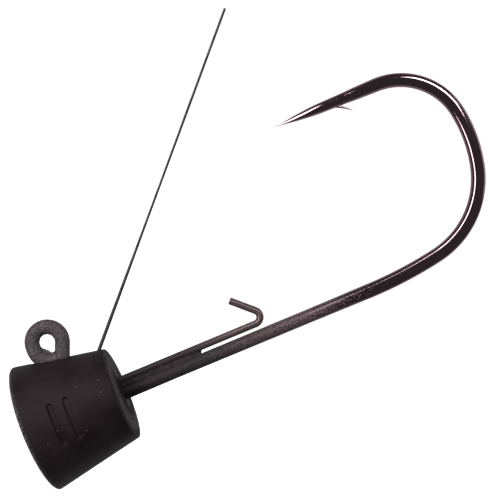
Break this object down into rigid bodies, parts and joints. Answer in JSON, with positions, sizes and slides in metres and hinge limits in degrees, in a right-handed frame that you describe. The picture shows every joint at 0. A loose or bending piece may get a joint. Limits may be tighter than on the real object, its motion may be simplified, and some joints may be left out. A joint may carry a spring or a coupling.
{
  "type": "jig head",
  "caption": "Cone-shaped fishing jig head on a barbed hook with an angled line eye, a baitholder wire and a springy single-wire weed guard.",
  "frame": {"origin": "centre of the head's flat nose face", "axes": "+Z along the head's axis and the hook's shank towards the bend, -X towards the line eye and the hook point, Y square to the hook's plane"},
  "size_m": [0.0293, 0.01, 0.0399],
  "materials": {
    "head_coat": "matt black powder coat with a fine grain",
    "resin": "black filled resin",
    "black_nickel": "glossy black nickel plate, brownish satin near the head",
    "keeper_coat": "brownish satin coat over steel wire",
    "solder_coat": "satin coat over solder",
    "guard_wire": "dull spring steel, coated at its root"
  },
  "bodies": {
    "jig": {"head": "head_coat", "slot_resin": "resin", "hook": "black_nickel", "bait_keeper": "keeper_coat", "keeper_solder": "solder_coat", "guard_root": "guard_wire"},
    "guard_lower": {"guard_lower": "guard_wire"},
    "guard_upper": {"guard_upper": "guard_wire"}
  },
  "joints": [
    {"name": "weed_guard_flex", "type": "hinge", "parent": "jig", "child": "guard_lower", "pos_m": [-0.00556, 0, 0.00841], "axis": [0, 1, 0], "range_deg": [-12, 19.5], "stiffness_Nm_per_rad": 0.0005},
    {"name": "weed_guard_sway", "type": "hinge", "parent": "guard_lower", "child": "guard_upper", "pos_m": [-0.00923, 0, 0.01181], "axis": [0.6794, 0, 0.7337], "range_deg": [-20, 20], "stiffness_Nm_per_rad": 0.0005}
  ]
}
